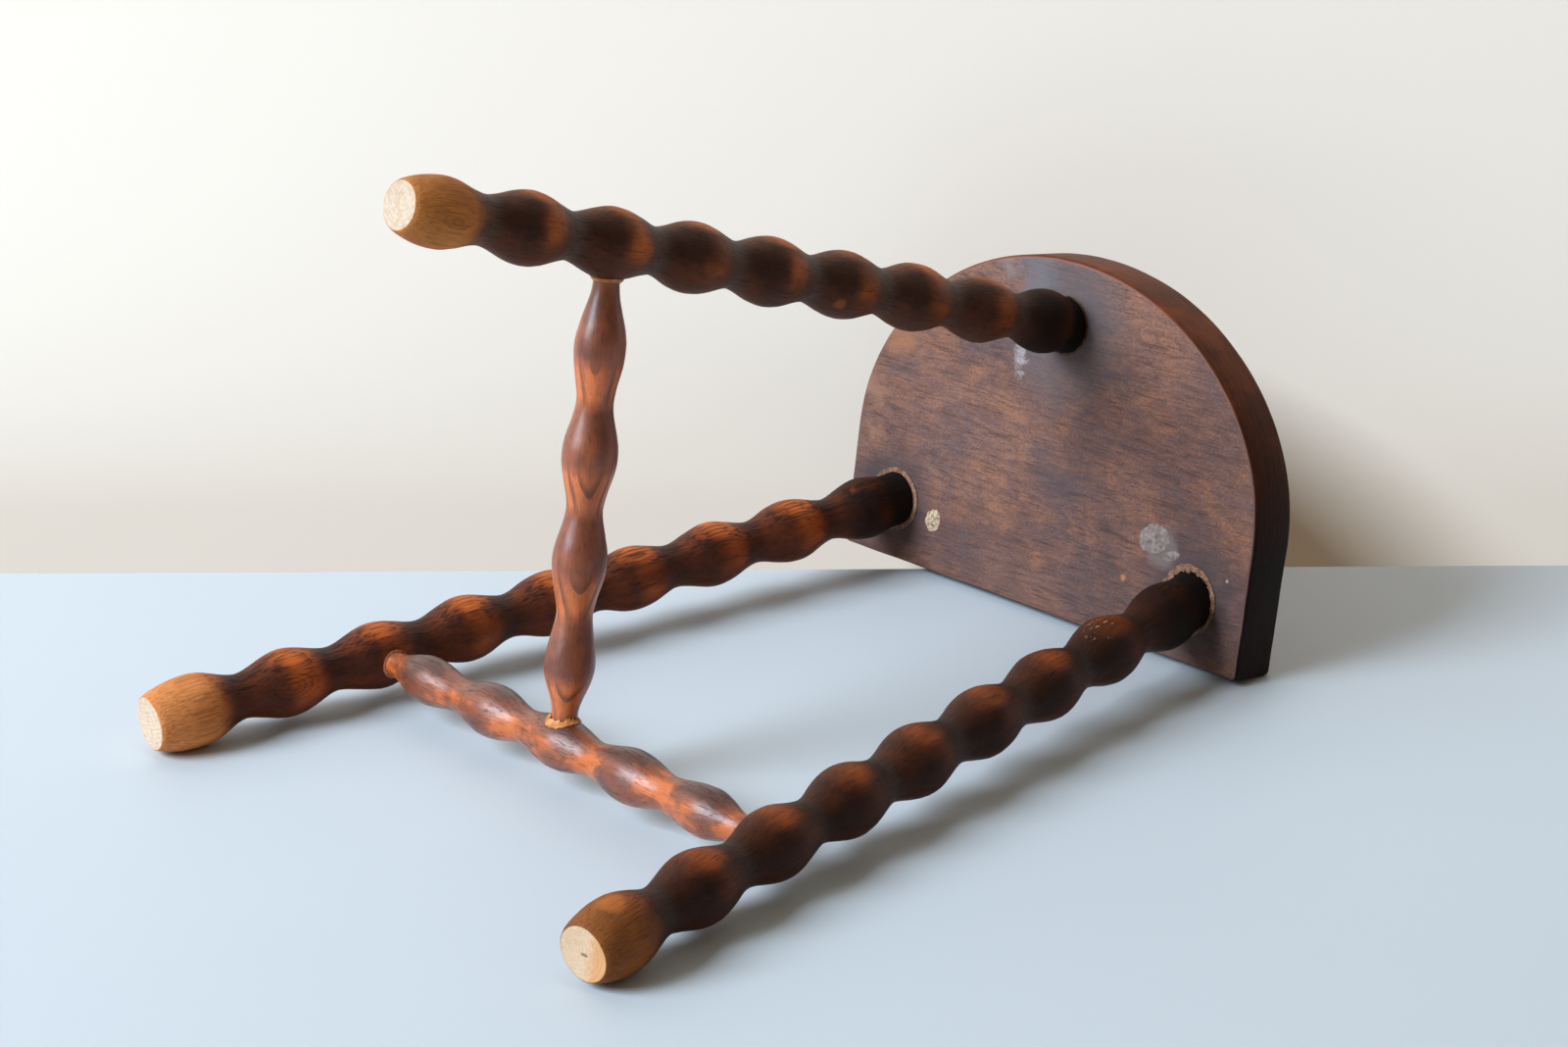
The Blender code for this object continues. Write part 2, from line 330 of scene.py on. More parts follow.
def make_seat():
    """The board: a round blank cut to a half oval, its sides drawn out straight, thickened and eased."""
    deselect()
    half = (SEAT_HIGH.x - SEAT_LOW.x) / 2
    middle = (SEAT_HIGH.x + SEAT_LOW.x) / 2
    curve_start = SEAT_HIGH.y - SEAT_SIDE
    bow = curve_start - SEAT_LOW.y
    bpy.ops.mesh.primitive_circle_add(
        vertices=160, radius=half, fill_type="NGON", location=(middle, curve_start, UNDERSIDE)
    )
    seat = bpy.context.object
    seat.name = "seat_board"
    bpy.ops.object.transform_apply(location=True, rotation=True, scale=True)
    bpy.ops.object.mode_set(mode="EDIT")
    bpy.ops.transform.resize(
        value=(1, bow / half, 1), center_override=(middle, curve_start, UNDERSIDE)
    )
    bpy.ops.mesh.bisect(
        plane_co=(middle, curve_start, UNDERSIDE), plane_no=(0, 1, 0), clear_outer=True
    )
    pick_points(seat, lambda point: point.y > curve_start - 0.00001)
    bpy.ops.mesh.select_mode(type="EDGE")
    bpy.ops.mesh.extrude_edges_move(TRANSFORM_OT_translate={"value": (0, SEAT_SIDE, 0)})
    bpy.ops.mesh.select_mode(type="FACE")
    bpy.ops.mesh.select_all(action="SELECT")
    bpy.ops.mesh.dissolve_faces()
    bpy.ops.mesh.extrude_region_move(
        TRANSFORM_OT_translate={"value": (0, 0, SEAT_HIGH.z - SEAT_LOW.z)}
    )
    bpy.ops.mesh.select_all(action="SELECT")
    bpy.ops.mesh.normals_make_consistent(inside=False)
    bpy.ops.object.mode_set(mode="OBJECT")
    apply_modifier(
        seat, "BEVEL", width=SEAT_ARRIS, segments=4, limit_method="ANGLE", angle_limit=math.radians(30)
    )
    take(seat)
    bpy.ops.object.mode_set(mode="EDIT")
    for way, low, high in (((1, 0, 0), SEAT_LOW.x, SEAT_HIGH.x), ((0, 1, 0), SEAT_LOW.y, SEAT_HIGH.y)):
        count = round((high - low) / 0.004)
        for step in range(1, count):
            bpy.ops.mesh.select_all(action="SELECT")
            cut = Vector(way) * (low + (high - low) * step / count)
            bpy.ops.mesh.bisect(plane_co=cut, plane_no=way)
    bpy.ops.object.mode_set(mode="OBJECT")
    roughen(seat, 0.0009, 0.045, seed=3.0)
    for name, line in LINES.items():
        if name in LEGS:
            deep = line.length + LEG_TENON_DEPTH + 0.001
            bore(seat, line, LEG_TENON + SOCKET_GAP, line.length - 0.01, deep)
    return seat


def loose_edge(spread, seed):
    """Moves each selected point a little way, at random."""
    bpy.ops.transform.vertex_random(offset=spread, uniform=0.0, normal=0.0, seed=seed)


def glue_ring(name, line, height, inner, outer, host, climb, ragged, seed, shift=(0, 0), thick=0.0006):
    """Squeezed-out glue: a ragged ring drawn in towards the tenon, laid on its host and thickened."""
    deselect()
    bpy.ops.mesh.primitive_circle_add(vertices=72, radius=outer, fill_type="NOTHING", location=(*shift, 0))
    ring = bpy.context.object
    ring.name = name
    bpy.ops.object.transform_apply(location=True, rotation=True, scale=True)
    bpy.ops.object.mode_set(mode="EDIT")
    bpy.ops.mesh.select_all(action="SELECT")
    loose_edge(ragged, seed)
    bpy.ops.mesh.vertices_smooth(factor=0.5)
    steps = 5
    for step in range(1, steps + 1):
        share = 1 - (outer - inner) / outer * step / steps
        before = 1 - (outer - inner) / outer * (step - 1) / steps
        bpy.ops.mesh.extrude_edges_move()
        bpy.ops.transform.resize(value=(share / before,) * 2 + (1,), center_override=(*shift, 0))
        bpy.ops.transform.translate(value=(-shift[0] / steps, -shift[1] / steps, 0))
        loose_edge(ragged * 0.3, seed + step)
    bpy.ops.mesh.select_all(action="SELECT")
    bpy.ops.mesh.normals_make_consistent(inside=False)
    bpy.ops.object.mode_set(mode="OBJECT")
    if ring.data.polygons[0].normal.z < 0:
        bpy.ops.object.mode_set(mode="EDIT")
        bpy.ops.mesh.select_all(action="SELECT")
        bpy.ops.mesh.flip_normals()
        bpy.ops.object.mode_set(mode="OBJECT")
    ring.matrix_world = line.matrix @ Matrix.Translation((0, 0, height + 0.012))
    bpy.context.view_layer.update()
    apply_modifier(
        ring, "SHRINKWRAP", target=host, wrap_method="PROJECT", use_project_z=True,
        use_positive_direction=False, use_negative_direction=True, offset=0.0001, project_limit=0.03,
    )
    bpy.ops.object.mode_set(mode="EDIT")
    for step in range(1, steps + 1):
        reach = inner + (outer - inner) * (1 - (step - 0.5) / steps)
        pick_points(ring, lambda point: math.hypot(point.x, point.y) < reach)
        bpy.ops.transform.translate(value=line.axis * (climb * step / steps ** 2 * 1.6))
    bpy.ops.object.mode_set(mode="OBJECT")
    apply_modifier(ring, "SOLIDIFY", thickness=thick, offset=0.2)
    place(ring, Matrix.Identity(4))
    roughen(ring, thick * 0.9, 0.0022, seed=5.0 + seed * 0.13)
    smooth(ring, 60)
    return ring


def residue(name, middle, length, width, turn, height, seed):
    """A scab of old glue or filler on the underside: a ball pressed flat, with a wandering edge."""
    deselect()
    x, y = middle
    bpy.ops.mesh.primitive_ico_sphere_add(subdivisions=5, radius=length / 2, location=(x, y, UNDERSIDE))
    scab = bpy.context.object
    scab.name = name
    bpy.ops.object.transform_apply(location=True, rotation=True, scale=True)
    bpy.ops.object.mode_set(mode="EDIT")
    centre = (x, y, UNDERSIDE)
    bpy.ops.mesh.select_all(action="SELECT")
    bpy.ops.transform.resize(value=(1, width / length, 2 * height / length), center_override=centre)
    bpy.ops.transform.rotate(value=math.radians(turn), orient_axis="Z", center_override=centre)
    bpy.ops.mesh.bisect(
        plane_co=(x, y, UNDERSIDE + 0.0003), plane_no=(0, 0, 1), use_fill=True, clear_outer=True
    )
    bpy.ops.mesh.select_all(action="SELECT")
    bpy.ops.mesh.normals_make_consistent(inside=False)
    bpy.ops.object.mode_set(mode="OBJECT")
    roughen(scab, height * 2.2, 0.0040, seed=7.0 + seed * 0.13)
    roughen(scab, height * 0.7, 0.0011, seed=3.0 + seed * 0.11)
    smooth(scab, 70)
    return scab


# ---------------------------------------------------------------- finishes

class Amount:
    """A value in a finish. Ordinary arithmetic on it adds the Math nodes."""

    def __init__(self, finish, socket):
        self.finish = finish
        self.socket = socket

    def maths(self, operation, *values):
        inputs = dict(enumerate(values))
        return self.finish.node("Math", {"operation": operation}, inputs)

    def __add__(self, other):
        return self.maths("ADD", self, other)

    def __sub__(self, other):
        return self.maths("SUBTRACT", self, other)

    def __mul__(self, other):
        return self.maths("MULTIPLY", self, other)

    def __truediv__(self, other):
        return self.maths("DIVIDE", self, other)

    def __pow__(self, other):
        return self.maths("POWER", self, other)

    def __rsub__(self, other):
        return self.maths("SUBTRACT", other, self)

    __radd__ = __add__
    __rmul__ = __mul__


class Finish:
    """One material, its nodes and the maker's ways of marking it."""

    def __init__(self, name, **uniform):
        self.material = bpy.data.materials.new(name)
        self.material.use_nodes = True
        self.tree = self.material.node_tree
        self.shader = self.tree.nodes["Principled BSDF"]
        for socket, value in uniform.items():
            self.shader.inputs[socket.replace("_", " ")].default_value = value

    def node(self, kind, settings, inputs, output=0):
        """Adds a node: its settings first, then the values or links of its sockets."""
        made = self.tree.nodes.new("ShaderNode" + kind)
        for setting, value in settings.items():
            setattr(made, setting, value)
        for socket, value in inputs.items():
            self.feed(made.inputs[socket], value)
        return Amount(self, made.outputs[output])

    def feed(self, socket, value):
        if isinstance(value, Amount):
            self.tree.links.new(value.socket, socket)
        else:
            socket.default_value = value

    def wear(self, socket, value):
        """Sets what the surface looks like: its colour, its shine and so on."""
        self.feed(self.shader.inputs[socket], value)

    def place(self):
        return self.node("TexCoord", {}, {}, "Object")

    def along(self, line):
        """Places measured along a turning: Z up its length, X towards its front."""
        return self.node(
            "Mapping", {"vector_type": "TEXTURE"},
            {"Vector": self.place(), "Location": line.start, "Rotation": line.matrix.to_euler()},
        )

    def split(self, vector):
        parts = self.tree.nodes.new("ShaderNodeSeparateXYZ")
        self.feed(parts.inputs[0], vector)
        return [Amount(self, output) for output in parts.outputs]

    def stretch(self, vector, *shares):
        return self.node("VectorMath", {"operation": "MULTIPLY"}, {0: vector, 1: shares})

    def shift(self, vector, *offset):
        return self.node("VectorMath", {"operation": "ADD"}, {0: vector, 1: offset})

    def far(self, vector, point):
        return self.node("VectorMath", {"operation": "DISTANCE"}, {0: vector, 1: tuple(point)}, 1)

    def noise(self, vector, scale, detail=2.0, rough=0.5):
        return self.node(
            "TexNoise", {}, {"Vector": vector, "Scale": scale, "Detail": detail, "Roughness": rough}
        )

    def between(self, value, low, high):
        """0 below low, 1 above high, and a soft step from one to the other."""
        return self.node(
            "MapRange", {"interpolation_type": "SMOOTHSTEP"},
            {"Value": value, "From Min": low, "From Max": high},
        )

    def below(self, value, high, low):
        """1 below low, 0 above high."""
        return self.node(
            "MapRange", {"interpolation_type": "SMOOTHSTEP"},
            {"Value": value, "From Min": low, "From Max": high, "To Min": 1.0, "To Max": 0.0},
        )

    def mix(self, mask, under, over):
        return self.node("Mix", {"data_type": "RGBA"}, {0: mask, 6: under, 7: over}, 2)

    def spot(self, vector, point, size, ragged=0.0, soft=0.5):
        """A patch round a point, with an edge that wanders by ragged."""
        reach = self.far(vector, point)
        if ragged:
            reach = reach + (self.noise(vector, 1.6 / size, 4.0, 0.6) - 0.5) * (2 * ragged)
        return self.below(reach, size, size * (1 - soft))

    def relief(self, height, depth):
        normal = self.node("Bump", {}, {"Height": height, "Distance": depth, "Strength": 1.0}, "Normal")
        self.wear("Normal", normal)


def tone(red, green, blue):
    """A colour as a paint chart gives it, from 0 to 255."""
    channels = []
    for value in (red, green, blue):
        share = value / 255
        channels.append(share / 12.92 if share < 0.04045 else ((share + 0.055) / 1.055) ** 2.4)
    return (*channels, 1.0)


def growth(finish, local, heart, ring, waver):
    """Growth rings round the heart of the tree, which lies off to one side of the blank."""
    x, y = finish.split(local)[:2]
    slow = finish.stretch(local, 1.0, 1.0, 0.22)
    drift = finish.noise(slow, 34.0, 2.0, 0.5)
    shake = finish.noise(finish.shift(slow, 0.31, 0.17, 0.0), 34.0, 2.0, 0.5)
    dx = x - heart[0] + (drift - 0.5) * waver
    dy = y - heart[1] + (shake - 0.5) * waver
    away = (dx * dx + dy * dy) ** 0.5
    return (away / ring).maths("FRACT", away / ring)


def pores(finish, local):
    """Fine open pores, long in the grain."""
    return finish.noise(finish.stretch(local, 1.0, 1.0, 0.045), 950.0, 3.0, 0.70)


def bead_phase(z, first, pitch):
    """Where a height lies on its bead: 0 on the crest, -0.5 and 0.5 in the waists."""
    phase = (z - first) / pitch + 0.5
    return phase.maths("FRACT", phase) - 0.5


def squared(value):
    return value * value


def wave(phase):
    """A smooth rise and fall over each bead, highest a quarter of the way from its crest to the next."""
    turn = phase * (2 * math.pi)
    return turn.maths("SINE", turn)


def vein(finish, rings):
    """The dark late wood of each growth ring."""
    return finish.between(rings, 0.45, 0.85) * (1 - finish.between(rings, 0.92, 1.0))


def eye(finish, local, point, size, seed):
    """A small figure of nested ovals where a bead cuts through the growth rings."""
    long = finish.stretch(local, 1.0, 1.0, 0.55)
    middle = (point[0], point[1], point[2] * 0.55)
    away = finish.far(long, middle) + (finish.noise(finish.shift(local, seed, 0, 0), 160.0) - 0.5) * 0.0016
    ring = away / 0.0021
    ring = ring.maths("FRACT", ring)
    return finish.below(away, size, size * 0.6) * finish.between(ring, 0.35, 0.75) * (
        1 - finish.between(ring, 0.85, 1.0)
    )


# ---------------------------------------------------------------- finishes of the pieces

def on_the_bead(up, angle):
    """A point on a leg's surface, at a height up it and an angle round it in degrees."""
    turn = math.radians(angle)
    return (LEG_BEAD * math.cos(turn), LEG_BEAD * math.sin(turn), up)


def leg_finish(name, look):
    """Dark stain, nearly black at the seat and bare at the foot. The orange on the beads' shoulders is partly
    wear and partly painted light. Each bead also carries a painted dark reflection on its front and a painted
    sheen in its waists.
    """
    leg, line = LEGS[name], LINES[name]
    pitch = (line.length - leg.foot - leg.top) / (LEG_BEADS - 1)
    finish = Finish(name + "_stain", Specular_IOR_Level=0.16)
    local = finish.along(line)
    x, y, z = finish.split(local)
    radius = (squared(x) + squared(y)) ** 0.5
    # front is 1 along the crown's angle and -1 opposite it; side is -1 on one flank and 1 on the other
    turn = math.radians(look.crown)
    front = (x * math.cos(turn) + y * math.sin(turn)) / radius
    side = (y * math.cos(turn) - x * math.sin(turn)) / radius
    phase = bead_phase(z, leg.foot, pitch)
    flank = bead_phase(z, leg.foot - 0.24 * pitch, pitch)
    hollow = bead_phase(z, leg.foot + 0.40 * pitch, pitch)
    cloud = finish.noise(finish.shift(finish.stretch(local, 1.0, 1.0, 0.6), look.seed, 0, 0), 90.0, 4.0, 0.6)
    broad = finish.noise(finish.shift(local, 0, look.seed, 0), 26.0, 2.0, 0.5)
    fine = pores(finish, local)
    streak = finish.noise(finish.stretch(local, 1.0, 1.0, 0.05), 420.0, 3.0, 0.6)
    rings = growth(finish, local, look.heart, look.ring, look.waver)

    drift = (cloud - 0.5) * 0.8 + (broad - 0.5) * 0.5
    # Painted dark reflection: a dark oval on the front of each bead, where the unlit room would be mirrored.
    # ovals sets how strong it is.
    dark_reflection = squared(flank / 0.30) + squared((side - 0.05) / 0.66) + drift * 1.3
    dark_reflection = finish.below(dark_reflection, 1.5, -0.2) * finish.between(front, -0.1, 0.5)
    # Orange on the upper, front side of each bead's shoulder and crest: partly wear, partly painted light
    # from above.
    shoulder = finish.between(wave(phase + 0.14) + drift * 0.7, -0.1, 1.1)
    waist = finish.below(hollow.maths("ABSOLUTE", hollow) + drift * 0.08, 0.22, 0.04)
    shoulder = shoulder * finish.between(front, -0.45, 0.25) * finish.below(side, look.low + 0.5, look.low)
    shoulder = shoulder * (finish.between(broad, 0.38, 0.60) * 0.75 + 0.50)
    patch = squared((phase - 0.02) / 0.30) + squared((side + 0.78) / 0.42) + drift
    patch = finish.below(patch, 1.1, 0.1) * finish.between(front, -0.6, 0.0)
    # worn mixes real wear with painted light. The lit shoulders and patches add to it, and the painted dark
    # reflection takes from it.
    worn = 0.26 + shoulder * look.shoulders + patch * look.patches + drift * 0.60 + (fine - 0.5) * 0.5
    worn = worn - dark_reflection * look.ovals - waist * 0.12
    worn = worn.maths("MAXIMUM", worn, 0.0)
    body = finish.mix(finish.between(worn, -0.05, 0.70), look.deep, look.warm)
    body = finish.mix(finish.between(worn, 0.45, 1.15), body, look.bright)
    # Painted sheen: a pale grey-brown in the waists on the front side, where a soft reflection of the window
    # would lie.
    body = finish.mix(waist * finish.between(front, -0.5, 0.4) * look.dust, body, tone(98, 76, 64))
    upper = finish.below(side, 0.15, -0.55)
    straight = finish.noise(finish.stretch(local, 1.0, 1.0, 0.008), 780.0, 1.0, 0.4)
    straight = finish.between(straight, 0.46, 0.62)
    marks = vein(finish, rings) * look.veins + straight * upper * look.lines
    marks = marks + finish.between(streak, 0.48, 0.75) * 0.35 + finish.between(fine, 0.50, 0.66) * 0.50
    body = finish.mix(marks.maths("MINIMUM", marks, 0.85), body, look.line)

    edge = z + (finish.noise(local, 90.0, 3.0, 0.6) - 0.5) * 0.020 - finish.below(front, 0.2, -0.6) * 0.004
    bare = finish.below(edge, look.reach + 0.010, look.reach - 0.010)
    foot = finish.mix(finish.between(cloud, 0.35, 0.7) * 0.6, look.foot, look.foot_stain)
    hairs = finish.between(finish.noise(finish.stretch(local, 1.0, 1.0, 0.012), 1300.0, 1.0, 0.4), 0.46, 0.64)
    foot = finish.mix(hairs * look.foot_lines, foot, look.foot_line)
    foot = finish.mix(finish.between(fine, 0.48, 0.66) * 0.30, foot, look.foot_line)
    body = finish.mix(bare * 0.92, body, foot)
    for up, angle, size, strength in look.eyes:
        point = on_the_bead(up, angle)
        body = finish.mix(eye(finish, local, point, size, look.seed) * strength, body, look.line)
    for up, angle, size, soft, strength, colour in look.spots:
        point = on_the_bead(up, angle)
        body = finish.mix(finish.spot(local, point, size, size * 0.35, soft) * strength, body, colour)
    for up, angle, size, share in look.specks:
        point = on_the_bead(up, angle)
        grit = finish.noise(finish.shift(local, look.seed, up, 0), 620.0, 1.0, 0.4)
        grit = finish.between(grit, share, share + 0.04) * finish.spot(local, point, size, 0, 0.4)
        body = finish.mix(grit * 0.70, body, tone(206, 164, 122))
    # Darker towards the seat end: the last beads near black and the shank black.
    toward_seat = finish.between(z + (broad - 0.5) * 0.016, line.length - 0.050, line.length - 0.026)
    body = finish.mix(toward_seat * 0.88, body, tone(13, 6, 4))
    body = finish.mix(finish.between(z, line.length - 0.016, line.length - 0.008) * 0.8, body, tone(11, 6, 4))
    finish.wear("Base Color", body)
    finish.wear("Roughness", 0.42 + fine * 0.14 + bare * 0.16 + toward_seat * 0.18 + (cloud - 0.5) * 0.10)
    finish.relief(rings * 0.10 + fine * 0.9, 0.00055)
    return finish.material


def end_grain(name, line, look):
    """Bare sawn end grain with faint growth rings and open pores."""
    finish = Finish(name + "_end_grain", Specular_IOR_Level=0.2)
    local = finish.along(line)
    x, y = finish.split(local)[:2]
    rings = growth(finish, local, look.heart, 0.0021, 0.003)
    speck = finish.noise(local, 1000.0, 3.0, 0.7)
    blot = finish.noise(local, 300.0, 3.0, 0.6)
    body = finish.mix(finish.between(blot, 0.3, 0.7), tone(222, 200, 177), tone(206, 176, 147))
    body = finish.mix(finish.between(rings, 0.3, 1.0) * 0.22, body, tone(188, 148, 116))
    body = finish.mix(finish.between(speck, 0.50, 0.70) * 0.38, body, tone(166, 126, 94))
    if look.crack:
        body = finish.mix(0.45, body, tone(218, 176, 134))
        glow = finish.between(y - x * 0.2 + (blot - 0.5) * 0.006, 0.001, 0.007)
        body = finish.mix(glow * 0.75, body, tone(214, 148, 88))
        split = squared(x / 0.0011) + squared((y - 0.0008 + (blot - 0.5) * 0.003) / 0.0022)
        body = finish.mix(finish.below(split, 1.0, 0.2) * 0.8, body, tone(128, 88, 60))
    finish.wear("Base Color", body)
    finish.wear("Roughness", 0.82 + speck * 0.1)
    finish.relief(rings * 0.3 + speck * 0.7, 0.0005)
    return finish.material


def back_stretcher_finish():
    """Glossier and paler than the legs, mottled orange at the waists and undersides."""
    line = LINES["back_stretcher"]
    finish = Finish("back_stretcher_stain", Specular_IOR_Level=0.36, Coat_Roughness=0.36)
    local = finish.along(line)
    x, y, z = finish.split(local)
    phase = bead_phase(z, BACK_ENDS[0], (line.length - sum(BACK_ENDS)) / (BACK_BEADS - 1))
    waist = finish.between(phase.maths("ABSOLUTE", phase), 0.16, 0.42)
    turn = math.radians(118)
    under = finish.between((x * math.cos(turn) + y * math.sin(turn)) / STRETCHER_BEAD, 0.0, 0.75)
    cloud = finish.noise(finish.stretch(local, 1.0, 1.0, 0.55), 120.0, 4.0, 0.6)
    broad = finish.noise(finish.shift(finish.stretch(local, 1.0, 1.0, 0.7), 0.3, 0, 0), 55.0, 2.0, 0.5)
    fine = pores(finish, local)
    streak = finish.noise(finish.stretch(local, 1.0, 1.0, 0.04), 460.0, 3.0, 0.6)
    worn = waist * 0.34 + under * 0.34 + (cloud - 0.5) * 1.0 + (broad - 0.5) * 1.4 - 0.04
    body = finish.mix(finish.between(worn, -0.1, 0.42), tone(86, 42, 27), tone(142, 70, 36))
    body = finish.mix(finish.between(worn, 0.38, 0.62), body, tone(204, 102, 40))
    marks = finish.between(streak, 0.48, 0.76) * 0.40 + finish.between(fine, 0.52, 0.70) * 0.30
    body = finish.mix(marks, body, tone(50, 25, 19))
    finish.wear("Base Color", body)
    finish.wear("Roughness", 0.38 + finish.between(fine, 0.5, 0.66) * 0.25)
    finish.wear("Coat Weight", 0.74 - finish.between(fine, 0.50, 0.62) * 0.5)
    finish.relief(fine * 0.9 + streak * 0.5, 0.00050)
    return finish.material


def centre_stretcher_finish():
    """Broad figured grain, more orange on one side of each crest than on the other."""
    line = LINES["centre_stretcher"]
    finish = Finish("centre_stretcher_stain", Specular_IOR_Level=0.5, Coat_Roughness=0.34)
    local = finish.along(line)
    z = finish.split(local)[2]
    phase = bead_phase(z, CENTRE_ENDS[0], (line.length - sum(CENTRE_ENDS)) / (CENTRE_BEADS - 1))
    lower = finish.between(wave(phase - 0.06), -0.25, 0.9)
    cloud = finish.noise(finish.stretch(local, 1.0, 1.0, 0.6), 90.0, 4.0, 0.6)
    fine = pores(finish, local)
    streak = finish.noise(finish.stretch(local, 1.0, 1.0, 0.05), 420.0, 3.0, 0.6)
    rings = growth(finish, local, (0.040, 0.030), 0.0044, 0.010)
    worn = lower * 0.50 + (cloud - 0.5) * 0.9 + 0.2
    body = finish.mix(finish.between(worn, 0.0, 0.45), tone(108, 53, 34), tone(168, 84, 42))
    body = finish.mix(finish.between(worn, 0.40, 0.85), body, tone(222, 114, 48))
    body = finish.mix(vein(finish, rings) * (0.08 + lower * 0.60), body, tone(62, 29, 18))
    marks = finish.between(streak, 0.5, 0.8) * 0.30 + finish.between(fine, 0.52, 0.66) * 0.35
    body = finish.mix(marks, body, tone(50, 24, 18))
    body = finish.mix(finish.below(z, 0.030, 0.020) * 0.6, body, tone(44, 22, 16))
    finish.wear("Base Color", body)
    finish.wear("Roughness", 0.36 + fine * 0.14)
    finish.wear("Coat Weight", 0.35 + cloud * 0.3)
    finish.relief(rings * 0.2 + fine * 0.6, 0.0003)
    return finish.material


def seat_underside():
    """Dull, mottled old stain with grey dirt round the sockets, rubbed patches and dried residue."""
    finish = Finish("seat_underside_stain", Specular_IOR_Level=0.25)
    board = finish.place()
    x, y = finish.split(board)[:2]
    fine = finish.noise(finish.stretch(board, 0.06, 1.0, 1.0), 1000.0, 4.0, 0.65)
    grain = finish.noise(finish.stretch(board, 0.14, 1.0, 1.0), 210.0, 4.0, 0.65)
    mottle = finish.noise(finish.stretch(board, 0.8, 1.0, 1.0), 900.0, 3.0, 0.75)
    hue = finish.noise(finish.shift(finish.stretch(board, 0.4, 1.0, 1.0), 0.2, 0.5, 0), 260.0, 4.0, 0.75)
    cloud = finish.noise(board, 17.0, 4.0, 0.6)
    blotch = finish.noise(finish.shift(board, 0.4, 0.2, 0.1), 40.0, 5.0, 0.65)
    grey = finish.noise(finish.shift(board, 0.9, 0.6, 0.1), 24.0, 4.0, 0.6)
    sweep = finish.noise(finish.stretch(board, 0.30, 1.0, 1.0), 34.0, 2.0, 0.5)
    arcs = (sweep + y * 2.0) * 15.0
    arcs = arcs.maths("FRACT", arcs)
    arcs = finish.between(arcs, 0.3, 0.9) * (1 - finish.between(arcs, 0.9, 1.0))
    body = finish.mix(finish.between(cloud, 0.3, 0.7), tone(110, 76, 67), tone(144, 102, 86))
    body = finish.mix(finish.between(blotch, 0.46, 0.68) * 0.60, body, tone(164, 108, 78))
    body = finish.mix(finish.between(grey, 0.50, 0.70) * 0.60, body, tone(88, 76, 80))
    body = finish.mix(arcs * 0.30, body, tone(76, 56, 56))
    body = finish.mix(finish.between(hue, 0.50, 0.70) * 0.24, body, tone(168, 110, 78))
    body = finish.mix(finish.between(hue, 0.50, 0.34) * 0.40, body, tone(96, 78, 86))
    body = finish.mix(finish.between(mottle, 0.46, 0.66) * 0.50, body, tone(78, 54, 50))
    body = finish.mix(finish.between(mottle, 0.46, 0.30) * 0.22, body, tone(174, 134, 114))
    body = finish.mix(finish.between(y, 0.02, 0.09) * 0.28, body, tone(74, 56, 52))
    body = finish.mix(finish.between(grain, 0.50, 0.74) * 0.50, body, tone(66, 46, 44))
    body = finish.mix(finish.between(fine, 0.50, 0.68) * 0.62, body, tone(58, 40, 38))
    for point, size, ragged, soft, strength, colour in UNDERSIDE_MARKS:
        patch = finish.spot(board, (*point, UNDERSIDE), size, ragged, soft)
        body = finish.mix(patch * strength, body, colour)
    drip = squared((x + 0.0275 + (hue - 0.5) * 0.008) / 0.0050) + squared((y + 0.047) / 0.015)
    drip = finish.below(drip + (mottle - 0.5) * 3.0 + (hue - 0.5) * 3.0, 1.1, -0.3)
    body = finish.mix(drip * 0.70, body, tone(176, 164, 164))
    finish.wear("Base Color", body)
    finish.wear("Roughness", 0.62 + cloud * 0.2)
    finish.relief(fine * 0.6 + grain * 0.6 + mottle * 0.3, 0.0005)
    return finish.material


def seat_edge():
    """Orange at the front of the bow and darker round its sides, partly stain and partly painted light and
    shade; pale along the lower arris, partly wear and partly a painted highlight.
    """
    finish = Finish("seat_edge_stain", Specular_IOR_Level=0.08)
    board = finish.place()
    y, z = finish.split(board)[1:]
    layers = finish.noise(finish.stretch(board, 0.07, 0.07, 1.0), 900.0, 4.0, 0.6)
    cloud = finish.noise(finish.stretch(board, 1.0, 1.0, 0.6), 40.0, 4.0, 0.6)
    # Orange on the front of the bow and near black round its sides: partly stain, partly painted light on the
    # front and painted shade on the sides.
    front = finish.below(y + (cloud - 0.5) * 0.05, 0.03, -0.11)
    body = finish.mix(front, tone(25, 12, 8), tone(112, 55, 27))
    body = finish.mix(finish.between(cloud, 0.45, 0.7) * front * 0.6, body, tone(146, 75, 38))
    body = finish.mix(finish.between(cloud, 0.55, 0.3) * 0.5, body, tone(36, 17, 11))
    body = finish.mix(finish.between(layers, 0.42, 0.7) * 0.50, body, tone(38, 19, 15))
    # Pale along the lower arris: partly wear, partly a painted highlight.
    worn = finish.below(z + (cloud - 0.5) * 0.0006, UNDERSIDE + 0.0009, UNDERSIDE + 0.0003)
    body = finish.mix(worn * 0.50, body, tone(162, 120, 110))
    finish.wear("Base Color", body)
    finish.wear("Roughness", 0.40 + cloud * 0.15)
    finish.relief(layers, 0.0003)
    return finish.material


